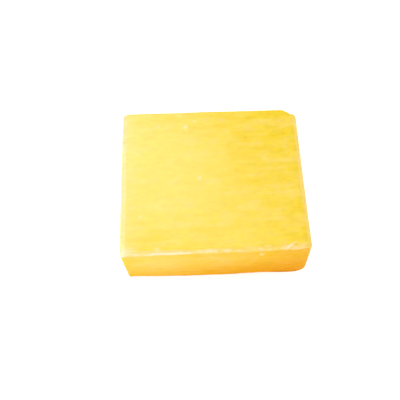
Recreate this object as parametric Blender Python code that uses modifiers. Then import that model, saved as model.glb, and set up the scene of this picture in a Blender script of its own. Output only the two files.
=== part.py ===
"""Detailing clay bar: one pressed block of soft yellow clay that lies on its flat base.

The bar is a single solid. The clay was kneaded, extruded, cut to length and pressed square, so every
edge is rounded, no two corners are quite alike, the front bellies and the right side is slightly
waisted. The top corner at the back right has been knocked flat.

Metres, +Z up. The origin is the middle of the base. +X runs along the bar, from the left end to the
right, and +Y from the front to the back.
"""

import math

import bmesh
import bpy
from mathutils import Vector

MM = 0.001

# The block, before its edges are rounded.
LENGTH = 72.0 * MM
DEPTH = 63.4 * MM
HEIGHT = 27.0 * MM

# How far each upright edge stands from the block's own (along X and Y), and its top from HEIGHT (Z).
# Each key says which edge: (right, back), 1 or -1 each way.
CORNER_SHIFT = {
    (-1, -1): Vector((0.0, 0.2, -0.9)) * MM,
    (1, -1): Vector((0.0, -0.1, 1.0)) * MM,
    (-1, 1): Vector((-0.3, 0.3, 0.4)) * MM,
    (1, 1): Vector((-0.3, -0.4, -0.4)) * MM,
}

# Soft, shallow curves of the faces, each measured at the middle of its face.
TOP_CROWN = 0.25 * MM
FRONT_BELLY = 0.5 * MM
LEFT_BELLY = 0.25 * MM
RIGHT_WAIST = 0.35 * MM

# Radii of the rounded edges.
UPRIGHT_ROUND = 1.2 * MM
RIM_ROUND = 1.1 * MM
ROUND_SEGMENTS = 4

# The knocked corner is a plane through this point that faces this way, cut with a block of this size.
KNOCK_THROUGH = Vector((30.8, 31.8, 26.6)) * MM
KNOCK_FACING = Vector((0.54, 0.76, 0.36)).normalized()
KNOCK_BLOCK = 30.0 * MM

# Each side of the block is a grid of this many cells each way, which lets it curve.
GRID_CELLS = 6

CLAY_COLOUR = (0.95, 0.66, 0.10, 1.0)
CLAY_ROUGHNESS = 0.45


def clear_scene():
    """Remove every object that is already in the scene."""
    for old in list(bpy.data.objects):
        bpy.data.objects.remove(old, do_unlink=True)


def new_collection(name):
    """Make a collection in the scene."""
    collection = bpy.data.collections.new(name)
    bpy.context.scene.collection.children.link(collection)
    return collection


def clay_material():
    """Yellow clay: an opaque, slightly waxy compound of resin and fine powder."""
    material = bpy.data.materials.new("yellow_clay")
    material.use_nodes = True
    shader = material.node_tree.nodes["Principled BSDF"]
    shader.inputs["Base Color"].default_value = CLAY_COLOUR
    shader.inputs["Roughness"].default_value = CLAY_ROUGHNESS
    shader.inputs["Metallic"].default_value = 0.0
    return material


def corner_shift(right, back):
    """Blend the four corners' shifts over the bar: right and back run from -1 to 1."""
    total = Vector((0.0, 0.0, 0.0))
    for (corner_right, corner_back), shift in CORNER_SHIFT.items():
        share = (1 + corner_right * right) * (1 + corner_back * back) / 4
        total += share * shift
    return total


def pressed(point):
    """Take a point of the cube that spans -1 to 1 to its place on the pressed bar."""
    right, back, up = point
    mid_right = 1 - right * right
    mid_back = 1 - back * back
    mid_up = 1 - up * up
    above_base = (up + 1) / 2
    shift = corner_shift(right, back)

    x = right * LENGTH / 2 + shift.x
    x -= LEFT_BELLY * mid_back * mid_up * max(0.0, -right)
    x -= RIGHT_WAIST * mid_back * max(0.0, right)

    y = back * DEPTH / 2 + shift.y
    y -= FRONT_BELLY * mid_right * max(0.0, -back)

    height = HEIGHT + shift.z + TOP_CROWN * mid_right * mid_back
    return Vector((x, y, above_base * height))


def is_upright(edge):
    """Say whether an edge of the undeformed cube is part of one of its four upright edges."""
    low, high = (vertex.co for vertex in edge.verts)
    return low.xy == high.xy and min(abs(low.x), abs(low.y)) == 1.0


def pressed_block(name):
    """Make the bar's mesh: a gridded cube, its upright edges marked, pressed to shape."""
    grid = bmesh.new()
    bmesh.ops.create_cube(grid, size=2.0)
    bmesh.ops.subdivide_edges(grid, edges=grid.edges[:], cuts=GRID_CELLS - 1, use_grid_fill=True)
    marks = grid.edges.layers.float.new("bevel_weight_edge")
    for edge in grid.edges:
        edge[marks] = 1.0 if is_upright(edge) else 0.0
    for vertex in grid.verts:
        vertex.co = pressed(vertex.co)
    mesh = bpy.data.meshes.new(name)
    grid.to_mesh(mesh)
    grid.free()
    return mesh


def round_edges(block):
    """Round the marked upright edges, and then the rims of the top and the base."""
    uprights = block.modifiers.new("rounded_uprights", "BEVEL")
    uprights.limit_method = "WEIGHT"
    uprights.width = UPRIGHT_ROUND
    uprights.segments = ROUND_SEGMENTS

    rims = block.modifiers.new("rounded_rims", "BEVEL")
    rims.limit_method = "ANGLE"
    rims.angle_limit = math.radians(60)
    rims.width = RIM_ROUND
    rims.segments = ROUND_SEGMENTS


def knock_corner(block, cutters):
    """Cut the knocked corner flat."""
    bpy.ops.mesh.primitive_cube_add(size=KNOCK_BLOCK)
    cutter = bpy.context.object
    cutter.name = "corner_cutter"
    cutter.location = KNOCK_THROUGH + KNOCK_FACING * KNOCK_BLOCK / 2
    cutter.rotation_mode = "QUATERNION"
    cutter.rotation_quaternion = KNOCK_FACING.to_track_quat("Z", "Y")
    cutter.hide_render = True
    cutter.display_type = "WIRE"
    for collection in cutter.users_collection:
        collection.objects.unlink(cutter)
    cutters.objects.link(cutter)
    cut = block.modifiers.new("knocked_corner", "BOOLEAN")
    cut.operation = "DIFFERENCE"
    cut.object = cutter


def settle_on_origin(block):
    """Move the mesh so that the finished bar's box stands on the origin, centred over it."""
    evaluated = block.evaluated_get(bpy.context.evaluated_depsgraph_get())
    corners = [vertex.co for vertex in evaluated.data.vertices]
    middle_x = (min(c.x for c in corners) + max(c.x for c in corners)) / 2
    middle_y = (min(c.y for c in corners) + max(c.y for c in corners)) / 2
    base_z = min(c.z for c in corners)
    for vertex in block.data.vertices:
        vertex.co -= Vector((middle_x, middle_y, base_z))


def make_clay_bar(collection, cutters):
    """Build the whole bar, which is one piece of clay."""
    block = bpy.data.objects.new("clay_bar", pressed_block("clay_bar"))
    collection.objects.link(block)
    block.data.materials.append(clay_material())
    block.data.shade_smooth()
    round_edges(block)
    settle_on_origin(block)
    knock_corner(block, cutters)


def main():
    """Clear the scene and build the bar in its own collection."""
    clear_scene()
    make_clay_bar(new_collection("detailing_clay_bar"), new_collection("cutters"))


main()
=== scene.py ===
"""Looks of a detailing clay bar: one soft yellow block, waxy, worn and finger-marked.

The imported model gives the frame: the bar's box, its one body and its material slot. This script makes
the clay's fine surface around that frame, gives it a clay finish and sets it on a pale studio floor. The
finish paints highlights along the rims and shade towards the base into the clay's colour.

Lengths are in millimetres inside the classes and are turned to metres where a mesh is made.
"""

import logging
import math
from dataclasses import dataclass, field
from enum import Enum
from typing import Any, ClassVar

import bpy
import numpy as np
from mathutils import Matrix, Vector, noise

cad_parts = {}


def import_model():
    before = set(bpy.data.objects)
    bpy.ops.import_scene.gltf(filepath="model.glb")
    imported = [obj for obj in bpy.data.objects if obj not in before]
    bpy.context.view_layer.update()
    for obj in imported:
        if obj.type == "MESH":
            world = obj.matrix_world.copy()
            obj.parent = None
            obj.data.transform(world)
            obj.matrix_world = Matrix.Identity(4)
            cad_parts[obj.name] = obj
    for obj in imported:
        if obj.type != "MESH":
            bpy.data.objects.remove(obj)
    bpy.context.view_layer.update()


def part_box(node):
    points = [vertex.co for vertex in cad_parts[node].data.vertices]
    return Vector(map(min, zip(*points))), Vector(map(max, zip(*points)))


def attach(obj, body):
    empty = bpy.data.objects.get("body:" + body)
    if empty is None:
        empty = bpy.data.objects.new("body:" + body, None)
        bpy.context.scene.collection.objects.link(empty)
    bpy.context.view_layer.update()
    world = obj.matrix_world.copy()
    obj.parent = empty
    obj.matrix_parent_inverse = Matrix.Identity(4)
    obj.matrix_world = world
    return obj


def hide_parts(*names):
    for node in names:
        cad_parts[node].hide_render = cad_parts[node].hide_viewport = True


MM = 0.001
# Names of the mesh attributes: the first holds pale crumbs and patches with painted highlights and sheen,
# the second painted shade.
PALE_AND_HIGHLIGHT_ATTRIBUTE = "pale_and_highlight"
SHADE_ATTRIBUTE = "deep"
TINY = 1e-9
LOG = logging.getLogger("clay_bar")


def linear(hex_colour: str) -> tuple[float, float, float, float]:
    """Turn an sRGB colour to the linear values that shaders read, by the sRGB standard's formula.

    Args:
        hex_colour: six hex digits, such as "F2B81E".

    Returns:
        Linear red, green and blue with an alpha of 1.
    """
    values = []
    for start in (0, 2, 4):
        part = int(hex_colour[start:start + 2], 16) / 255
        values.append(part / 12.92 if part <= 0.04045 else ((part + 0.055) / 1.055) ** 2.4)
    return (values[0], values[1], values[2], 1.0)


def smooth(edge_0: float, edge_1: float, value: np.ndarray) -> np.ndarray:
    """Ease from 0 at edge_0 to 1 at edge_1.

    Args:
        edge_0: the value that gives 0.
        edge_1: the value that gives 1, which may be the lower one.
        value: the values to ease.

    Returns:
        The eased values, each from 0 to 1.
    """
    share = np.clip((value - edge_0) / (edge_1 - edge_0), 0.0, 1.0)
    return share * share * (3 - 2 * share)


def cloud(points: np.ndarray, grain: tuple[float, float, float], seed: float) -> np.ndarray:
    """Read smooth noise at each point.

    Args:
        points: places in millimetres, one row each.
        grain: the size in millimetres of a lump along X, Y and Z.
        seed: shifts the pattern, so that two clouds of one grain differ.

    Returns:
        A value from about -1 to 1 at each point.
    """
    scaled = points / np.array(grain) + seed
    return np.array([noise.noise(Vector(place)) for place in scaled])


def add_node(
    tree: bpy.types.NodeTree,
    kind: str,
    settings: dict[str, Any] | None = None,
    inputs: dict[str | int, Any] | None = None,
) -> bpy.types.Node:
    """Add a node with its settings, and fill or link its inputs.

    Args:
        tree: the node tree to add to.
        kind: the node's class name without "ShaderNode", such as "TexNoise".
        settings: the node's own properties by name.
        inputs: for each input, by name or number, a value or the output socket that feeds it.

    Returns:
        The new node.
    """
    node = tree.nodes.new("ShaderNode" + kind)
    for name, value in (settings or {}).items():
        setattr(node, name, value)
    for name, value in (inputs or {}).items():
        if isinstance(value, bpy.types.NodeSocket):
            tree.links.new(value, node.inputs[name])
        else:
            node.inputs[name].default_value = value
    return node


class Side(Enum):
    """A side of the bar, as the two axes it spans, the axis it faces and which way."""

    TOP = (0, 1, 2, 1)
    FRONT = (0, 2, 1, -1)
    BACK = (0, 2, 1, 1)
    LEFT = (1, 2, 0, -1)
    RIGHT = (1, 2, 0, 1)

    def outward(self, rows: np.ndarray) -> np.ndarray:
        """Give the part of each place or direction that points out of this side."""
        return rows[:, self.value[2]] * self.value[3]

    def seen(self, normals: np.ndarray) -> np.ndarray:
        """Say how squarely each normal faces this side, from 0 to 1."""
        return np.clip(self.outward(normals), 0.0, 1.0)

    def flat(self, points: np.ndarray) -> np.ndarray:
        """Give the points' two coordinates along this side."""
        return points[:, [self.value[0], self.value[1]]]


@dataclass(frozen=True)
class Spot:
    """A round mark: a pit where depth is above 0, a crumb that stands proud where it is below.

    It shows only on skin that faces its side squarely enough. Pale is how much paler it turns, from 0 to 1.
    """

    LEAST_FACING: ClassVar[float] = 0.2

    side: Side
    at: tuple[float, float]
    radius: float
    depth: float
    pale: float = 0.0

    def shape(self, points: np.ndarray, normals: np.ndarray) -> np.ndarray:
        """Give the mark's strength, from 0 to 1, at each point."""
        away = np.linalg.norm(self.side.flat(points) - np.array(self.at), axis=1)
        return np.exp(-(away / self.radius) ** 2) * (self.side.seen(normals) > self.LEAST_FACING)


@dataclass(frozen=True)
class Crease:
    """A pinched line: a groove along a path with a lip of pushed-up clay beside it.

    It is deepest half-way and tapers towards its ends, where taper is the share of a half wave cut off at
    each end. The lip's place and width are in widths of the groove, and only the lip is pale: a painted
    highlight where the ridge catches light.
    """

    LEAST_FACING: ClassVar[float] = 0.15
    TAPER: ClassVar[float] = 0.08
    LIP_PLACE: ClassVar[float] = 1.3
    LIP_WIDTH: ClassVar[float] = 0.8

    side: Side
    path: tuple[tuple[float, float], ...]
    width: float
    depth: float
    lip: float = 0.5
    pale: float = 0.0

    def distance(self, points: np.ndarray) -> tuple[np.ndarray, np.ndarray]:
        """Measure from each point to the path.

        Args:
            points: places on the bar in millimetres.

        Returns:
            The distance to the path, signed by the side of the path, and how far along it, 0 to 1.
        """
        flat = self.side.flat(points)
        best = np.full(len(flat), np.inf)
        signed = np.zeros(len(flat))
        along = np.zeros(len(flat))
        runs = len(self.path) - 1
        for number in range(runs):
            start = np.array(self.path[number])
            step = np.array(self.path[number + 1]) - start
            share = np.clip((flat - start) @ step / (step @ step), 0.0, 1.0)
            offset = flat - start - share[:, None] * step
            away = np.linalg.norm(offset, axis=1)
            nearer = away < best
            turn = np.sign(step[0] * offset[:, 1] - step[1] * offset[:, 0])
            best = np.where(nearer, away, best)
            signed = np.where(nearer, away * turn, signed)
            along = np.where(nearer, (number + share) / runs, along)
        return signed, along

    def shape(self, points: np.ndarray, normals: np.ndarray) -> tuple[np.ndarray, np.ndarray]:
        """Give the groove's and the lip's strength, each from 0 to 1, at each point."""
        signed, along = self.distance(points)
        wave = np.sin(np.pi * (self.TAPER + (1 - 2 * self.TAPER) * along))
        fade = wave * (self.side.seen(normals) > self.LEAST_FACING)
        widths = signed / self.width
        groove = np.exp(-widths ** 2) * fade
        lip = np.exp(-((widths - self.LIP_PLACE) / self.LIP_WIDTH) ** 2) * fade
        return groove, lip


@dataclass(frozen=True)
class RimHighlight:
    """A painted highlight along the rim between the top and a side, strongest at one slope of the rounding.

    The slope and its spread are in degrees, from 0 on the side to 90 on the top, and the span is where the
    highlight starts and ends along the rim. Patch is the share of it that comes in flecks, and reach is how
    far its painted sheen spills over the top.
    """

    FLATNESS: ClassVar[int] = 4
    FACING: ClassVar[tuple[float, float]] = (0.08, 0.3)
    END_FADE: ClassVar[float] = 1.5
    FLECK_GRAIN: ClassVar[tuple[float, float, float]] = (1.9, 1.1, 1.1)
    FLECK_SEED: ClassVar[float] = 51.0
    FLECK_EDGE: ClassVar[tuple[float, float]] = (-0.1, 0.3)

    side: Side
    slope: float
    spread: float
    span: tuple[float, float]
    pale: float
    patch: float = 0.0
    reach: float = 0.0

    def spill(self, points: np.ndarray, normals: np.ndarray) -> np.ndarray:
        """Fade the painted sheen inward over the flat of the top."""
        across = self.side.outward(points)
        return np.exp((across - across.max()) / self.reach) * Side.TOP.seen(normals) ** self.FLATNESS

    def shape(self, points: np.ndarray, normals: np.ndarray) -> np.ndarray:
        """Give the painted highlight's strength, from 0 to 1, at each point.

        Args:
            points: places on the bar in millimetres.
            normals: the outward direction at each.

        Returns:
            The strength, which fades at both ends of the span and is broken up where patch is above 0.
        """
        seen = self.side.seen(normals)
        slope = np.degrees(np.arctan2(normals[:, 2], np.maximum(seen, TINY)))
        band = np.exp(-((slope - self.slope) / self.spread) ** 2) * smooth(*self.FACING, seen)
        if self.reach > 0:
            band = np.maximum(band, self.spill(points, normals))
        along = self.side.flat(points)[:, 0]
        start, end = self.span
        fade_in = smooth(start - self.END_FADE, start + self.END_FADE, along)
        fade_out = smooth(end + self.END_FADE, end - self.END_FADE, along)
        flecks = smooth(*self.FLECK_EDGE, cloud(points, self.FLECK_GRAIN, self.FLECK_SEED))
        return band * fade_in * fade_out * (1 - self.patch + self.patch * flecks)


@dataclass(frozen=True)
class Wave:
    """Soft ups and downs left by pressing, all over the bar or on one side only.

    Grain is the size of a lump along X, Y and Z. On a side, the waves fade where the skin turns away from
    it, the faster the higher the flatness.
    """

    height: float
    grain: tuple[float, float, float]
    seed: float
    side: Side | None = None
    flatness: int = 1

    def rise(self, points: np.ndarray, normals: np.ndarray) -> np.ndarray:
        """Say how far the skin rises at each point, in millimetres."""
        rise = self.height * cloud(points, self.grain, self.seed)
        return rise if self.side is None else rise * self.side.seen(normals) ** self.flatness


@dataclass(frozen=True)
class EdgeRounds:
    """How far the clay is rolled round along each kind of edge, in millimetres.

    A span gives the places along the edge, from -1 at the left to 1 at the right, where a swell or dip
    starts and where it is full. Wander is the share by which a radius varies, and shoulder is the power of
    the rolled curve at the front and back, where 2 would be an arc and 1 a flat chamfer.
    """

    top_left: float = 2.8
    top_right: float = 2.4
    base_sides: float = 1.4
    front_top: float = 1.75
    front_top_swell: float = 0.45
    front_top_swell_span: tuple[float, float] = (-0.2, 0.8)
    front_uprights: float = 1.2
    front_base: float = 1.8
    front_base_swell: float = 0.7
    front_base_swell_span: tuple[float, float] = (-0.3, -0.9)
    front_base_dip: float = 0.8
    front_base_dip_span: tuple[float, float] = (0.5, 0.8)
    front_base_nick: float = 0.8
    front_base_nick_place: float = 0.43
    front_base_nick_width: float = 0.2
    back_top: float = 0.8
    back_uprights: float = 0.9
    back_base: float = 1.1
    wander: float = 0.18
    wander_grain: tuple[float, float, float] = (8.0, 60.0, 8.0)
    wander_seed: float = 3.0
    shoulder: float = 1.45

    def front_top_at(self, right: np.ndarray) -> np.ndarray:
        """Give the radius of the front's top edge, which swells to the right."""
        return self.front_top + self.front_top_swell * smooth(*self.front_top_swell_span, right)

    def front_base_at(self, right: np.ndarray) -> np.ndarray:
        """Give the radius of the front's base edge: fuller at the left, nicked, and tight at the right."""
        swell = self.front_base_swell * smooth(*self.front_base_swell_span, right)
        dip = self.front_base_dip * smooth(*self.front_base_dip_span, right)
        from_nick = (right - self.front_base_nick_place) / self.front_base_nick_width
        return self.front_base + swell - dip + self.front_base_nick * np.exp(-from_nick ** 2)


@dataclass(frozen=True)
class Knock:
    """A corner pushed flat: clay past a plane is pressed back to it, softly.

    The plane goes through a place and faces a direction, and softness is how far its edges are eased.
    """

    facing: tuple[float, float, float]
    through: tuple[float, float, float]
    softness: float

    def press(self, points: np.ndarray) -> np.ndarray:
        """Press the points that lie past the plane back towards it."""
        facing = np.array(self.facing) / np.linalg.norm(self.facing)
        past = (points - np.array(self.through)) @ facing
        kept = -self.softness * np.logaddexp(0.0, -past / self.softness)
        return points + (kept - past)[:, None] * facing


@dataclass(frozen=True)
class PaintedShade:
    """Painted shade: how far the yellow turns from the body's to a shaded orange, from 0 to 1.

    It turns beside, in full below the first value of facing_up and not at all past the second. It goes from
    the rim's share, at the height reach, to the base's. The front's shares are added on the front only: its
    rim deepens in two steps to the right, and its base in one. A span is where a step starts and where it
    is full, from -1 at the left to 1 at the right.
    """

    facing_up: tuple[float, float] = (0.1, 0.7)
    reach: float = 20.0
    front_reach: float = 4.0
    rim: float = 0.25
    front_rim_left: float = 0.12
    left_span: tuple[float, float] = (-0.9, 0.3)
    front_rim_right: float = 0.24
    right_span: tuple[float, float] = (0.2, 1.0)
    base: float = 0.58
    front_base: float = 0.42
    whole_span: tuple[float, float] = (-0.9, 0.9)

    def at(self, right: np.ndarray, points: np.ndarray, normals: np.ndarray) -> np.ndarray:
        """Give the share at each point.

        Args:
            right: how far right each point is, from -1 to 1.
            points: places on the bar in millimetres.
            normals: the outward direction at each.

        Returns:
            The share, which is 0 where the skin faces up and greatest at the front's base on the right.
        """
        front = Side.FRONT.seen(normals)
        beside = 1 - smooth(*self.facing_up, normals[:, 2])
        turned = front * smooth(*self.whole_span, right)
        sunk = smooth(self.reach + self.front_reach * turned, 0.0, points[:, 2])
        left_part = self.front_rim_left * smooth(*self.left_span, right)
        right_part = self.front_rim_right * smooth(*self.right_span, right)
        start = self.rim + front * (left_part + right_part)
        end = self.base + self.front_base * turned
        return beside * (start + (end - start) * sunk)


@dataclass
class ClayBlock:
    """The bar itself: a pressed block whose edges are rolled round and whose skin is marked by handling.

    The lattice has cells of one size over the flats and finer ones in a band along the edges. A corner's
    shift is keyed by its side to the right and to the back, -1 or 1: the first two numbers move the corner
    in X and Y at every height, and the third lifts its top. Off_base is where the relief starts and where
    it is full, above the base.
    """

    WELD_DECIMALS: ClassVar[int] = 5

    low: np.ndarray
    high: np.ndarray
    cell: float = 0.5
    rim_cell: float = 0.28
    rim_band: float = 2.8
    rounds: EdgeRounds = EdgeRounds()
    knocks: tuple[Knock, ...] = (
        Knock((0.51, 0.82, 0.34), (31.9, 29.4, 26.2), 0.20),
        Knock((0.62, -0.36, -0.70), (34.6, -31.4, 1.9), 0.5),
        Knock((-0.30, -0.65, -0.70), (-35.1, -31.0, 0.5), 0.25),
    )
    corner_shift: dict[tuple[int, int], tuple[float, float, float]] = field(default_factory=lambda: {
        (-1, -1): (0.25, 0.50, -2.6),
        (1, -1): (-0.05, 0.30, -0.5),
        (-1, 1): (-0.20, -0.50, -1.0),
        (1, 1): (0.00, -1.40, -2.0),
    })
    top_crown: float = 0.25
    front_belly: float = 0.47
    left_belly: float = 0.38
    right_waist: float = 0.20
    off_base: tuple[float, float] = (0.2, 1.5)
    # Painted shade on the sides and towards the base, most at the front's lower right.
    painted_shade: PaintedShade = PaintedShade()
    waves: tuple[Wave, ...] = ()
    marks: tuple[Spot | Crease, ...] = ()
    # Painted highlights and sheen along the rims.
    rim_highlights: tuple[RimHighlight, ...] = ()

    def stations(self, axis: int) -> np.ndarray:
        """Space the lattice along an axis, closer where the edges are rounded.

        Args:
            axis: 0, 1 or 2 for X, Y or Z.

        Returns:
            The places of the lattice planes, from one end of the box to the other.
        """
        start, end = self.low[axis], self.high[axis]
        rim_cells = round(self.rim_band / self.rim_cell)
        inner = end - start - 2 * self.rim_band
        inner_cells = round(inner / self.cell)
        steps = np.concatenate([
            np.full(rim_cells, self.rim_band / rim_cells),
            np.full(inner_cells, inner / inner_cells),
            np.full(rim_cells, self.rim_band / rim_cells),
        ])
        return start + np.concatenate([[0.0], np.cumsum(steps)])

    def shell(self) -> tuple[np.ndarray, np.ndarray]:
        """Lay a lattice over the six sides of the box and weld it along the edges.

        Returns:
            The points, and the quads as four point numbers each, facing out.
        """
        lines = [self.stations(axis) for axis in range(3)]
        points, quads, count = [], [], 0
        for axis in range(3):
            across, up = (axis + 1) % 3, (axis + 2) % 3
            for end in (self.low[axis], self.high[axis]):
                grid = np.zeros((len(lines[across]), len(lines[up]), 3))
                grid[..., axis] = end
                grid[..., across] = lines[across][:, None]
                grid[..., up] = lines[up][None, :]
                number = count + np.arange(grid[..., 0].size).reshape(grid.shape[:2])
                ring = [number[:-1, :-1], number[1:, :-1], number[1:, 1:], number[:-1, 1:]]
                if end == self.low[axis]:
                    ring.reverse()
                points.append(grid.reshape(-1, 3))
                quads.append(np.stack(ring, axis=-1).reshape(-1, 4))
                count += grid[..., 0].size
        placed = np.concatenate(points).round(self.WELD_DECIMALS)
        welded, places = np.unique(placed, axis=0, return_inverse=True)
        return welded, places.reshape(-1)[np.concatenate(quads)]

    def shares(self, points: np.ndarray) -> tuple[np.ndarray, np.ndarray, np.ndarray]:
        """Give each point's place in the box as right, back and up, each from -1 to 1."""
        middle = (self.low + self.high) / 2
        half = (self.high - self.low) / 2
        part = (points - middle) / half
        return part[:, 0], part[:, 1], part[:, 2]

    def roll_section(self, points: np.ndarray) -> tuple[np.ndarray, np.ndarray, np.ndarray]:
        """Round the four edges that run from front to back, across the whole section.

        Args:
            points: the sharp box's points.

        Returns:
            The points, the outward direction in X and Z at each, and each one's distance inside the
            section's outline.
        """
        rounds = self.rounds
        section = [0, 2]
        middle = ((self.low + self.high) / 2)[section]
        half = ((self.high - self.low) / 2)[section]
        plan = points[:, section] - middle
        sign = np.where(plan >= 0, 1.0, -1.0)
        top = np.where(sign[:, 0] > 0, rounds.top_right, rounds.top_left)
        radius = np.where(sign[:, 1] > 0, top, rounds.base_sides)
        beyond = np.abs(plan) - (half - radius[:, None])
        reach = np.maximum(beyond, 0.0)
        length = np.maximum(np.linalg.norm(reach, axis=1), TINY)
        in_corner = (reach > 0).all(axis=1)
        rolled = np.where(in_corner[:, None], reach * (reach.max(axis=1) / length)[:, None], beyond)
        placed = points.copy()
        placed[:, section] = middle + sign * (half - radius[:, None] + rolled)
        straight = np.where((beyond[:, 0] >= beyond[:, 1])[:, None], [1.0, 0.0], [0.0, 1.0])
        out = np.where(in_corner[:, None], reach / length[:, None], straight)
        depth = np.where(in_corner, reach.max(axis=1), beyond.max(axis=1))
        return placed, out * sign, radius - depth

    def end_radius(self, points: np.ndarray, out: np.ndarray) -> np.ndarray:
        """Give the radius at which the front or back face meets the section at each point.

        Args:
            points: places on the bar.
            out: the outward direction in X and Z at each.

        Returns:
            The radius at each point, which wanders a little along the edge.
        """
        rounds = self.rounds
        right, back, _ = self.shares(points)
        front = back < 0
        above = np.where(front, rounds.front_top_at(right), rounds.back_top)
        beside = np.where(front, rounds.front_uprights, rounds.back_uprights)
        below = np.where(front, rounds.front_base_at(right), rounds.back_base)
        level = out[:, 1] ** 2 * np.where(out[:, 1] > 0, above, below)
        wander = 1 + rounds.wander * cloud(points, rounds.wander_grain, rounds.wander_seed)
        return (level + out[:, 0] ** 2 * beside) * wander

    def roll_ends(self, points: np.ndarray, out: np.ndarray, inset: np.ndarray) -> np.ndarray:
        """Round the rims of the front and back faces, on a curve a little flatter than an arc.

        Args:
            points: the points with their section rounded.
            out: the outward direction in X and Z at each point.
            inset: each point's distance inside the section's outline.

        Returns:
            The rounded points.
        """
        radius = self.end_radius(points, out)
        facing = np.where(points[:, 1] < (self.low[1] + self.high[1]) / 2, -1.0, 1.0)
        behind = np.abs(np.where(facing < 0, self.low[1], self.high[1]) - points[:, 1])
        aside = np.maximum(radius - inset, 0.0)
        ahead = np.maximum(radius - behind, 0.0)
        power = self.rounds.shoulder
        length = (aside ** power + ahead ** power) ** (1 / power)
        rolled = (aside > 0) & (ahead > 0)
        shift = np.where(rolled, radius / np.maximum(length, TINY) - 1.0, 0.0)
        placed = points.copy()
        placed[:, [0, 2]] += out * (aside * shift)[:, None]
        placed[:, 1] += facing * ahead * shift
        return placed

    def press(self, points: np.ndarray) -> np.ndarray:
        """Shift the corners, crown the top, belly and waist the sides, and push the knocked corners in."""
        right, back, up = self.shares(points)
        shift = np.zeros((len(points), 3))
        for (corner_right, corner_back), corner in self.corner_shift.items():
            share = (1 + corner_right * right) * (1 + corner_back * back) / 4
            shift += share[:, None] * np.array(corner)
        mid_right = 1 - right ** 2
        mid_back = 1 - back ** 2
        mid_up = 1 - up ** 2
        tall = self.high[2] - self.low[2]
        placed = points.copy()
        placed[:, :2] += shift[:, :2]
        placed[:, 0] -= self.left_belly * mid_back * mid_up * np.maximum(0.0, -right)
        placed[:, 0] -= self.right_waist * mid_back * np.maximum(0.0, right)
        placed[:, 1] -= self.front_belly * mid_right * np.maximum(0.0, -back)
        placed[:, 2] *= 1 + (shift[:, 2] + self.top_crown * mid_right * mid_back) / tall
        for knock in self.knocks:
            placed = knock.press(placed)
        return placed

    def relief(self, points: np.ndarray, normals: np.ndarray) -> np.ndarray:
        """Work out how far handling and pressing move the skin in or out.

        Args:
            points: the pressed block's points.
            normals: the outward direction at each point.

        Returns:
            The distance to move each point outward, in millimetres.
        """
        height = sum(wave.rise(points, normals) for wave in self.waves)
        for mark in self.marks:
            if isinstance(mark, Spot):
                height -= mark.depth * mark.shape(points, normals)
            else:
                groove, lip = mark.shape(points, normals)
                height += mark.depth * (mark.lip * lip - groove)
        return height * smooth(*self.off_base, points[:, 2])

    def paleness(self, points: np.ndarray, normals: np.ndarray) -> np.ndarray:
        """Say how pale the skin is at each point, from 0 to 1: pale crumbs and patches, painted sheen, and
        painted highlights on rims and crease lips.
        """
        pale = np.zeros(len(points))
        for mark in self.marks:
            if isinstance(mark, Spot):
                pale += mark.pale * mark.shape(points, normals)
            else:
                # A crease's lip is paled: a painted highlight where the ridge catches light.
                pale += mark.pale * mark.shape(points, normals)[1]
        for highlight in self.rim_highlights:
            pale += highlight.pale * highlight.shape(points, normals)
        return np.clip(pale, 0.0, 1.0)

    def build(self, name: str) -> bpy.types.Object:
        """Make the bar's mesh.

        Args:
            name: the piece's name.

        Returns:
            The new object, in the scene.
        """
        points, quads = self.shell()
        rolled, out, inset = self.roll_section(points)
        pressed = self.press(self.roll_ends(rolled, out, inset))
        mesh = bpy.data.meshes.new(name)
        mesh.from_pydata((pressed * MM).tolist(), [], quads.tolist())
        normals = np.empty(len(pressed) * 3)
        mesh.vertex_normals.foreach_get("vector", normals)
        normals = normals.reshape(-1, 3)
        marked = pressed + normals * self.relief(pressed, normals)[:, None]
        marked[:, 2] = np.maximum(marked[:, 2], self.low[2])
        mesh.vertices.foreach_set("co", (marked * MM).ravel())
        right, _, _ = self.shares(pressed)
        # The first attribute holds pale crumbs and patches with painted highlights and sheen; the second
        # holds painted shade.
        for attribute, values in (
            (PALE_AND_HIGHLIGHT_ATTRIBUTE, self.paleness(pressed, normals)),
            (SHADE_ATTRIBUTE, self.painted_shade.at(right, pressed, normals)),
        ):
            mesh.attributes.new(attribute, "FLOAT", "POINT").data.foreach_set("value", values)
        mesh.update()
        mesh.shade_smooth()
        piece = bpy.data.objects.new(name, mesh)
        bpy.context.scene.collection.objects.link(piece)
        return piece


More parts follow.
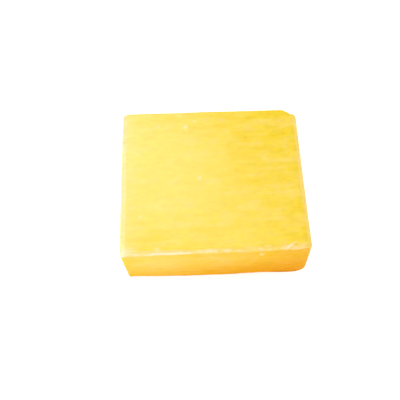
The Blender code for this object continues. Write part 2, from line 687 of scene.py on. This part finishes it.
@dataclass(frozen=True)
class YellowClay:
    """Detailing clay: soft resin kneaded with fine mineral powder, extruded and pressed.

    It is opaque with a little light under the skin, which turns it orange where it is shaded or thin,
    and a trace of oil gives it a broad waxy sheen. Its colour also holds painted shade, orange on the sides
    and towards the base and brown where it sits, and painted highlights in a pale cream. Lengths are real
    sizes: the die's streaks, the kneaded mottle and the clumps of powder along X, Y and Z, and the powder's
    grain. A span is the part of a noise's range that is used, and a swing is how far it moves a value up and
    down.
    """

    body: str = "E0C222"
    deep: str = "E0BE02"
    pale: str = "E6C54C"
    # Painted shade colours: orange on the sides and towards the base, brown where the bar sits.
    painted_shade_colour: str = "D88E02"
    contact_shade: str = "B06A02"
    # Pale cream of crumbs and patches, also the colour of the painted highlights and sheen.
    pale_and_highlight: str = "FFD8B0"
    band_places: tuple[float, float, float] = (0.40, 0.50, 0.61)
    ior: float = 1.50
    roughness: float = 0.31
    roughness_swing: float = 0.06
    light_share: float = 0.25
    light_depth_mm: float = 1.6
    light_colour: tuple[float, float, float] = (1.0, 0.45, 0.12)
    contact_shade_mm: float = 3.2
    streak_mm: tuple[float, float, float] = (19.0, 3.2, 4.2)
    mottle_mm: tuple[float, float, float] = (7.0, 5.2, 5.2)
    mottle_share: float = 0.42
    streak_span: tuple[float, float] = (0.3, 0.7)
    powder_mm: tuple[float, float, float] = (2.8, 1.8, 1.8)
    powder_span: tuple[float, float] = (0.25, 0.75)
    powder_swing: float = 0.06
    noise_roughness: float = 0.6
    noise_distortion: float = 0.3
    grain_mm: float = 0.55
    grain_height_mm: float = 0.05
    grain_strength: float = 0.25
    oil_above: float = 0.5
    oil_beside: float = 0.02
    oil_at_bench: float = 0.001
    oil_facing: tuple[float, float] = (0.05, 0.65)
    oil_heights_mm: tuple[float, float] = (2.0, 12.0)

    def build(self, name: str) -> bpy.types.Material:
        """Make the clay's material.

        Args:
            name: the material's name.

        Returns:
            The new material.
        """
        material = bpy.data.materials.new(name)
        material.use_nodes = True
        tree = material.node_tree
        tree.nodes.clear()
        place = add_node(tree, "TexCoord").outputs["Object"]
        streaks = self.streaks(tree, place)
        colour = self.colour(tree, place, streaks)
        shader = add_node(tree, "BsdfPrincipled", {"subsurface_method": "RANDOM_WALK"}, {
            "Base Color": colour,
            "Roughness": self.sheen(tree, streaks),
            "IOR": self.ior,
            "Specular IOR Level": self.oil(tree, place),
            "Subsurface Weight": self.light_share,
            "Subsurface Radius": self.light_colour,
            "Subsurface Scale": self.light_depth_mm * MM,
            "Normal": self.grain(tree, place),
        })
        add_node(tree, "OutputMaterial", inputs={"Surface": shader.outputs["BSDF"]})
        return material

    def noise(
        self,
        tree: bpy.types.NodeTree,
        place: bpy.types.NodeSocket,
        grain_mm: tuple[float, float, float],
        detail: float,
    ) -> bpy.types.NodeSocket:
        """Noise with lumps of a given size along X, Y and Z, in millimetres."""
        stretched = add_node(tree, "Mapping", inputs={
            "Vector": place,
            "Scale": tuple(1 / (grain * MM) for grain in grain_mm),
        })
        return add_node(tree, "TexNoise", inputs={
            "Vector": stretched.outputs["Vector"],
            "Scale": 1.0,
            "Detail": detail,
            "Roughness": self.noise_roughness,
            "Distortion": self.noise_distortion,
        }).outputs["Fac"]

    def streaks(self, tree: bpy.types.NodeTree, place: bpy.types.NodeSocket) -> bpy.types.NodeSocket:
        """Soft streaks along the bar, left by the extruder's die, over a kneaded mottle."""
        return add_node(tree, "Mix", {"data_type": "FLOAT"}, {
            "Factor": self.mottle_share,
            "A": self.noise(tree, place, self.streak_mm, detail=3.0),
            "B": self.noise(tree, place, self.mottle_mm, detail=3.0),
        }).outputs["Result"]

    def contact_shade_line(self, tree: bpy.types.NodeTree, place: bpy.types.NodeSocket) -> bpy.types.NodeSocket:
        """Painted contact shade: a value that eases from 0 a little above the bench to 1 where the bar sits
        on it.
        """
        height = add_node(tree, "SeparateXYZ", inputs={"Vector": place}).outputs["Z"]
        return add_node(tree, "MapRange", {"interpolation_type": "SMOOTHSTEP"}, {
            "Value": height,
            "From Min": self.contact_shade_mm * MM,
            "From Max": 0.0,
        }).outputs["Result"]

    def oil(self, tree: bpy.types.NodeTree, place: bpy.types.NodeSocket) -> bpy.types.NodeSocket:
        """The film of oil, full where the skin faces up, thin on the sides and wiped off near the bench."""
        normal = add_node(tree, "NewGeometry").outputs["Normal"]
        rise = add_node(tree, "SeparateXYZ", inputs={"Vector": normal}).outputs["Z"]
        height = add_node(tree, "SeparateXYZ", inputs={"Vector": place}).outputs["Z"]
        wiped, kept = self.oil_heights_mm
        beside = add_node(tree, "MapRange", inputs={
            "Value": height,
            "From Min": wiped * MM,
            "From Max": kept * MM,
            "To Min": self.oil_at_bench,
            "To Max": self.oil_beside,
        })
        return add_node(tree, "MapRange", inputs={
            "Value": rise,
            "From Min": self.oil_facing[0],
            "From Max": self.oil_facing[1],
            "To Min": beside.outputs["Result"],
            "To Max": self.oil_above,
        }).outputs["Result"]

    def bands(self, tree: bpy.types.NodeTree, streaks: bpy.types.NodeSocket) -> bpy.types.NodeSocket:
        """Colour the streaks from the deep yellow through the body's to the pale one."""
        bands = add_node(tree, "ValToRGB", inputs={"Fac": streaks})
        first, middle, last = self.band_places
        stops = bands.color_ramp.elements
        stops[0].position = first
        stops[0].color = linear(self.deep)
        stops[1].position = last
        stops[1].color = linear(self.pale)
        stops.new(middle).color = linear(self.body)
        return bands.outputs["Color"]

    def colour(
        self,
        tree: bpy.types.NodeTree,
        place: bpy.types.NodeSocket,
        streaks: bpy.types.NodeSocket,
    ) -> bpy.types.NodeSocket:
        """Mix the yellows: streaked body, painted shade in orange and in brown at the base, powdery, and
        pale crumbs with painted highlights.
        """
        # Painted shade in orange, by the shade attribute.
        painted_shaded = add_node(tree, "Mix", {"data_type": "RGBA"}, {
            "Factor": add_node(tree, "Attribute", {"attribute_name": SHADE_ATTRIBUTE}).outputs["Fac"],
            "A": self.bands(tree, streaks),
            "B": linear(self.painted_shade_colour),
        })
        # Painted contact shade in brown at the base.
        contact_shaded = add_node(tree, "Mix", {"data_type": "RGBA"}, {
            "Factor": self.contact_shade_line(tree, place),
            "A": painted_shaded.outputs["Result"],
            "B": linear(self.contact_shade),
        })
        powder = add_node(tree, "MapRange", inputs={
            "Value": self.noise(tree, place, self.powder_mm, detail=2.0),
            "From Min": self.powder_span[0],
            "From Max": self.powder_span[1],
            "To Min": 1 - self.powder_swing,
            "To Max": 1 + self.powder_swing,
        })
        powdered = add_node(tree, "VectorMath", {"operation": "SCALE"}, {
            0: contact_shaded.outputs["Result"],
            "Scale": powder.outputs["Result"],
        })
        # Pale crumbs and patches, and painted highlights and sheen, by the pale attribute.
        return add_node(tree, "Mix", {"data_type": "RGBA"}, {
            "Factor": add_node(tree, "Attribute", {"attribute_name": PALE_AND_HIGHLIGHT_ATTRIBUTE}).outputs["Fac"],
            "A": powdered.outputs["Vector"],
            "B": linear(self.pale_and_highlight),
        }).outputs["Result"]

    def sheen(self, tree: bpy.types.NodeTree, streaks: bpy.types.NodeSocket) -> bpy.types.NodeSocket:
        """Vary the waxy sheen a little with the bands."""
        return add_node(tree, "MapRange", inputs={
            "Value": streaks,
            "From Min": self.streak_span[0],
            "From Max": self.streak_span[1],
            "To Min": self.roughness - self.roughness_swing,
            "To Max": self.roughness + self.roughness_swing,
        }).outputs["Result"]

    def grain(self, tree: bpy.types.NodeTree, place: bpy.types.NodeSocket) -> bpy.types.NodeSocket:
        """The powder's grain, drawn several times coarser than it is so that it shows."""
        powder = add_node(tree, "TexNoise", inputs={
            "Vector": place,
            "Scale": 1 / (self.grain_mm * MM),
            "Detail": 2.0,
        })
        return add_node(tree, "Bump", inputs={
            "Height": powder.outputs["Fac"],
            "Strength": self.grain_strength,
            "Distance": self.grain_height_mm * MM,
        }).outputs["Normal"]


@dataclass(frozen=True)
class WhiteCard:
    """Matt white card, rolled from paper pulp: even and pale, with a glow of its own that keeps it white."""

    colour: str = "F4F4F2"
    roughness: float = 0.9
    glow: float = 0.45

    def build(self, name: str) -> bpy.types.Material:
        """Make the card's material.

        Args:
            name: the material's name.

        Returns:
            The new material.
        """
        material = bpy.data.materials.new(name)
        material.use_nodes = True
        sockets = material.node_tree.nodes["Principled BSDF"].inputs
        sockets["Base Color"].default_value = linear(self.colour)
        sockets["Roughness"].default_value = self.roughness
        sockets["Specular IOR Level"].default_value = 0.0
        sockets["Emission Color"].default_value = linear("FFFFFF")
        sockets["Emission Strength"].default_value = self.glow
        return material


@dataclass(frozen=True)
class Softbox:
    """A rectangular soft light that faces the bar and doesn't show: its place and size are in metres."""

    name: str
    place: tuple[float, float, float]
    size: tuple[float, float]
    watts: float

    def build(self) -> bpy.types.Object:
        """Add the light to the scene.

        Returns:
            The new light.
        """
        lamp = bpy.data.lights.new(self.name, "AREA")
        lamp.shape = "RECTANGLE"
        lamp.size, lamp.size_y = self.size
        lamp.energy = self.watts
        light = bpy.data.objects.new(self.name, lamp)
        light.location = self.place
        light.rotation_euler = (-Vector(self.place)).to_track_quat("-Z", "Y").to_euler()
        light.visible_camera = False
        bpy.context.scene.collection.objects.link(light)
        return light


@dataclass
class Studio:
    """A pale floor in a pale room, soft lights and the camera.

    The room is white at its horizon and eases to a greyer ceiling. Its ceiling starts at a rise, the upward
    part of a direction. The floor's span is in metres, and the camera's turns are in degrees.
    """

    floor_span: float = 6.0
    horizon_light: float = 1.0
    ceiling_light: float = 0.42
    ceiling_rise: float = 0.4
    softboxes: tuple[Softbox, ...] = (
        Softbox("left_box", (-0.527, 0.369, 0.766), (0.6, 0.6), 3.7),
        Softbox("back_box", (-0.129, 0.483, 0.866), (0.3, 0.4), 2.4),
        Softbox("right_box", (0.75, 0.43, 0.50), (0.5, 0.5), 1.5),
        Softbox("top_box", (0.0, -0.30, 1.0), (0.9, 0.5), 3.3),
        Softbox("front_box", (-0.12, -0.93, 0.37), (0.30, 0.18), 0.75),
        Softbox("front_card", (-0.166, -0.237, 0.090), (0.12, 0.08), 0.17),
    )
    camera_mm: tuple[float, float, float] = (0.9, -109.0, 222.9)
    yaw: float = -3.35
    pitch: float = 63.29
    roll: float = -5.48
    lens: float = 51.3
    nearest_m: float = 0.01

    def floor(self) -> bpy.types.Object:
        """Make the floor, a broad matt card."""
        bpy.ops.mesh.primitive_plane_add(size=self.floor_span)
        card = bpy.context.object
        card.name = "floor"
        card.data.materials.append(WhiteCard().build("white_card"))
        return card

    def room(self) -> None:
        """Put pale walls all round, which light the bar evenly."""
        world = bpy.data.worlds.new("pale_room")
        world.use_nodes = True
        tree = world.node_tree
        walls = tree.nodes["Background"]
        walls.inputs["Color"].default_value = linear("FFFFFF")
        toward = add_node(tree, "TexCoord").outputs["Generated"]
        light = add_node(tree, "MapRange", {"interpolation_type": "SMOOTHSTEP"}, {
            "Value": add_node(tree, "SeparateXYZ", inputs={"Vector": toward}).outputs["Z"],
            "From Min": 0.0,
            "From Max": self.ceiling_rise,
            "To Min": self.horizon_light,
            "To Max": self.ceiling_light,
        })
        tree.links.new(light.outputs["Result"], walls.inputs["Strength"])
        bpy.context.scene.world = world

    def camera(self) -> None:
        """Stand the camera in front of the bar, looking down on it, a little rolled."""
        yaw, pitch, roll = (math.radians(turn) for turn in (self.yaw, self.pitch, self.roll))
        ahead = Vector((
            math.sin(yaw) * math.cos(pitch), math.cos(yaw) * math.cos(pitch), -math.sin(pitch)
        ))
        right = Vector((math.cos(yaw), -math.sin(yaw), 0.0))
        up = right.cross(ahead)
        rolled_right = right * math.cos(roll) + up * math.sin(roll)
        rolled_up = up * math.cos(roll) - right * math.sin(roll)
        lens = bpy.data.cameras.new("camera")
        lens.lens = self.lens
        lens.clip_start = self.nearest_m
        camera = bpy.data.objects.new("camera", lens)
        turn = Matrix((rolled_right, rolled_up, -ahead)).transposed().to_4x4()
        camera.matrix_world = Matrix.Translation(Vector(self.camera_mm) * MM) @ turn
        bpy.context.scene.collection.objects.link(camera)
        bpy.context.scene.camera = camera

    def build(self) -> None:
        """Set up the whole studio."""
        self.floor()
        for softbox in self.softboxes:
            softbox.build()
        self.room()
        self.camera()
        bpy.context.scene.view_settings.view_transform = "Standard"


# Height, lump size, seed, then the side and flatness where it isn't all over.
PRESSING_WAVES: tuple[Wave, ...] = (
    Wave(0.09, (17.0, 13.0, 11.0), 11.0),
    Wave(0.030, (4.2, 3.6, 3.0), 23.0),
    Wave(0.040, (19.0, 2.3, 9.0), 31.0, Side.TOP, 4),
    Wave(0.014, (8.0, 0.9, 9.0), 37.0, Side.TOP, 4),
    Wave(0.085, (6.0, 9.0, 2.6), 41.0, Side.FRONT),
    Wave(0.055, (2.4, 9.0, 1.3), 43.0, Side.FRONT),
)
# A crease is its path, width, depth, lip and paleness, the paleness a painted highlight on the lip. A spot
# is its place, radius, depth and paleness.
HANDLING_MARKS: tuple[Spot | Crease, ...] = (
    Crease(Side.TOP, ((26.6, -32.2), (28.3, -31.2), (30.0, -30.1)), 0.34, 0.26, 0.9, 1.0),
    Crease(Side.TOP, ((30.0, -30.1), (31.0, -30.9)), 0.28, 0.18, 0.8, 0.5),
    Crease(Side.TOP, ((28.0, -32.3), (31.0, -32.1), (34.6, -31.8)), 0.30, 0.20, 0.9, 0.6),
    Spot(Side.TOP, (-6.0, 26.3), 0.55, -0.07, 0.55),
    Spot(Side.TOP, (-9.8, 23.6), 0.75, -0.09, 0.9),
    Spot(Side.TOP, (-21.3, 24.2), 0.50, -0.07, 0.5),
    Spot(Side.TOP, (-1.8, 26.5), 0.45, -0.06, 0.4),
    Spot(Side.TOP, (5.2, 26.2), 0.45, -0.06, 0.4),
    Spot(Side.TOP, (-29.7, 11.6), 0.55, -0.07, 0.5),
    Spot(Side.TOP, (-28.0, -16.4), 0.55, -0.07, 0.6),
    Spot(Side.TOP, (-4.6, -0.8), 0.70, -0.09, 0.7),
    Spot(Side.TOP, (-10.4, 21.1), 0.35, 0.35),
    Crease(Side.TOP, ((-33.4, -29.2), (-29.6, -29.4)), 0.22, 0.10, 0.9, 0.55),
    Crease(Side.TOP, ((-33.2, -30.2), (-29.3, -30.4)), 0.22, 0.10, 0.9, 0.55),
    Crease(Side.TOP, ((-33.0, -31.2), (-29.2, -31.4)), 0.22, 0.10, 0.9, 0.45),
    Spot(Side.TOP, (-34.4, -30.2), 1.6, 0.0, 0.5),
    Spot(Side.TOP, (-21.4, -29.9), 0.70, -0.05, 0.45),
    Spot(Side.TOP, (33.2, 28.0), 0.8, 0.55),
    Spot(Side.BACK, (34.6, 25.6), 0.9, -0.25),
    # Broad pale patches on the front's left: painted sheen.
    Spot(Side.FRONT, (-22.0, 18.0), 13.0, 0.0, 0.17),
    Spot(Side.FRONT, (2.0, 20.0), 9.0, 0.0, 0.10),
    Spot(Side.FRONT, (17.6, 22.4), 0.80, -0.12, 0.7),
    Spot(Side.FRONT, (-25.7, 2.4), 0.45, 0.35),
    Crease(Side.FRONT, ((-3.7, 24.1), (-0.5, 20.6), (3.7, 15.8)), 0.45, 0.12, 0.7, 0.12),
    Crease(Side.FRONT, ((16.8, 21.4), (14.5, 17.0), (11.8, 12.5)), 0.45, 0.12, 0.7, 0.14),
    Crease(Side.FRONT, ((30.5, 3.2), (32.6, 4.2), (35.0, 4.6)), 0.45, 0.30, 0.8, 0.1),
    Spot(Side.LEFT, (4.0, 15.0), 15.0, 0.0, 0.14),
    Spot(Side.LEFT, (-14.0, 9.0), 3.5, 0.16, 0.10),
    Spot(Side.LEFT, (17.0, 20.5), 0.70, -0.10, 0.6),
    Crease(Side.LEFT, ((-24.0, 21.0), (-19.0, 19.4), (-15.5, 19.9)), 0.40, 0.16, 0.8, 0.5),
    Spot(Side.RIGHT, (-6.0, 16.0), 14.0, 0.0, 0.12),
    Spot(Side.RIGHT, (9.0, 12.0), 4.0, 0.18, 0.10),
    Spot(Side.RIGHT, (-19.0, 19.0), 0.60, -0.10, 0.6),
    Crease(Side.RIGHT, ((16.0, 6.0), (20.5, 8.4), (23.5, 12.0)), 0.40, 0.18, 0.8, 0.3),
    Spot(Side.BACK, (8.0, 15.0), 15.0, 0.0, 0.12),
    Spot(Side.BACK, (-15.0, 12.0), 4.0, 0.18, 0.10),
    Spot(Side.BACK, (22.0, 8.0), 0.70, -0.10, 0.6),
    Crease(Side.BACK, ((-30.0, 18.0), (-26.0, 16.2), (-23.0, 16.8)), 0.40, 0.16, 0.8, 0.4),
)
# Painted highlights and sheen along the rims: slope, spread, span, paleness, then the patchy share and the
# reach over the top.
RIM_HIGHLIGHTS: tuple[RimHighlight, ...] = (
    RimHighlight(Side.FRONT, 42.0, 8.0, (-24.0, -9.0), 1.0),
    RimHighlight(Side.FRONT, 44.0, 10.0, (-9.0, -3.0), 0.55, 0.3),
    RimHighlight(Side.FRONT, 37.0, 13.0, (-36.0, -24.0), 0.60, 0.5),
    RimHighlight(Side.FRONT, 44.0, 15.0, (-3.0, 36.0), 0.65, 0.8),
    RimHighlight(Side.FRONT, 62.0, 12.0, (-36.0, 0.0), 0.35, 0.3),
    RimHighlight(Side.LEFT, 62.0, 30.0, (-34.0, 34.0), 0.66, 0.25, 2.4),
    RimHighlight(Side.RIGHT, 60.0, 26.0, (-34.0, 28.0), 0.18, 0.5, 1.6),
)


def main() -> None:
    """Build the bar on its frame, dress it, and set up the studio."""
    logging.basicConfig(level=logging.INFO, format="%(name)s: %(message)s")
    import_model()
    low, high = (np.array(corner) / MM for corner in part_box("clay_bar"))
    block = ClayBlock(low, high, waves=PRESSING_WAVES, marks=HANDLING_MARKS, rim_highlights=RIM_HIGHLIGHTS)
    bar = block.build("clay_block")
    bar.data.materials.append(YellowClay().build("yellow_detailing_clay"))
    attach(bar, "root")
    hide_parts("clay_bar")
    LOG.info("%s: %d faces", bar.name, len(bar.data.polygons))
    Studio().build()


if __name__ == "__main__":
    main()
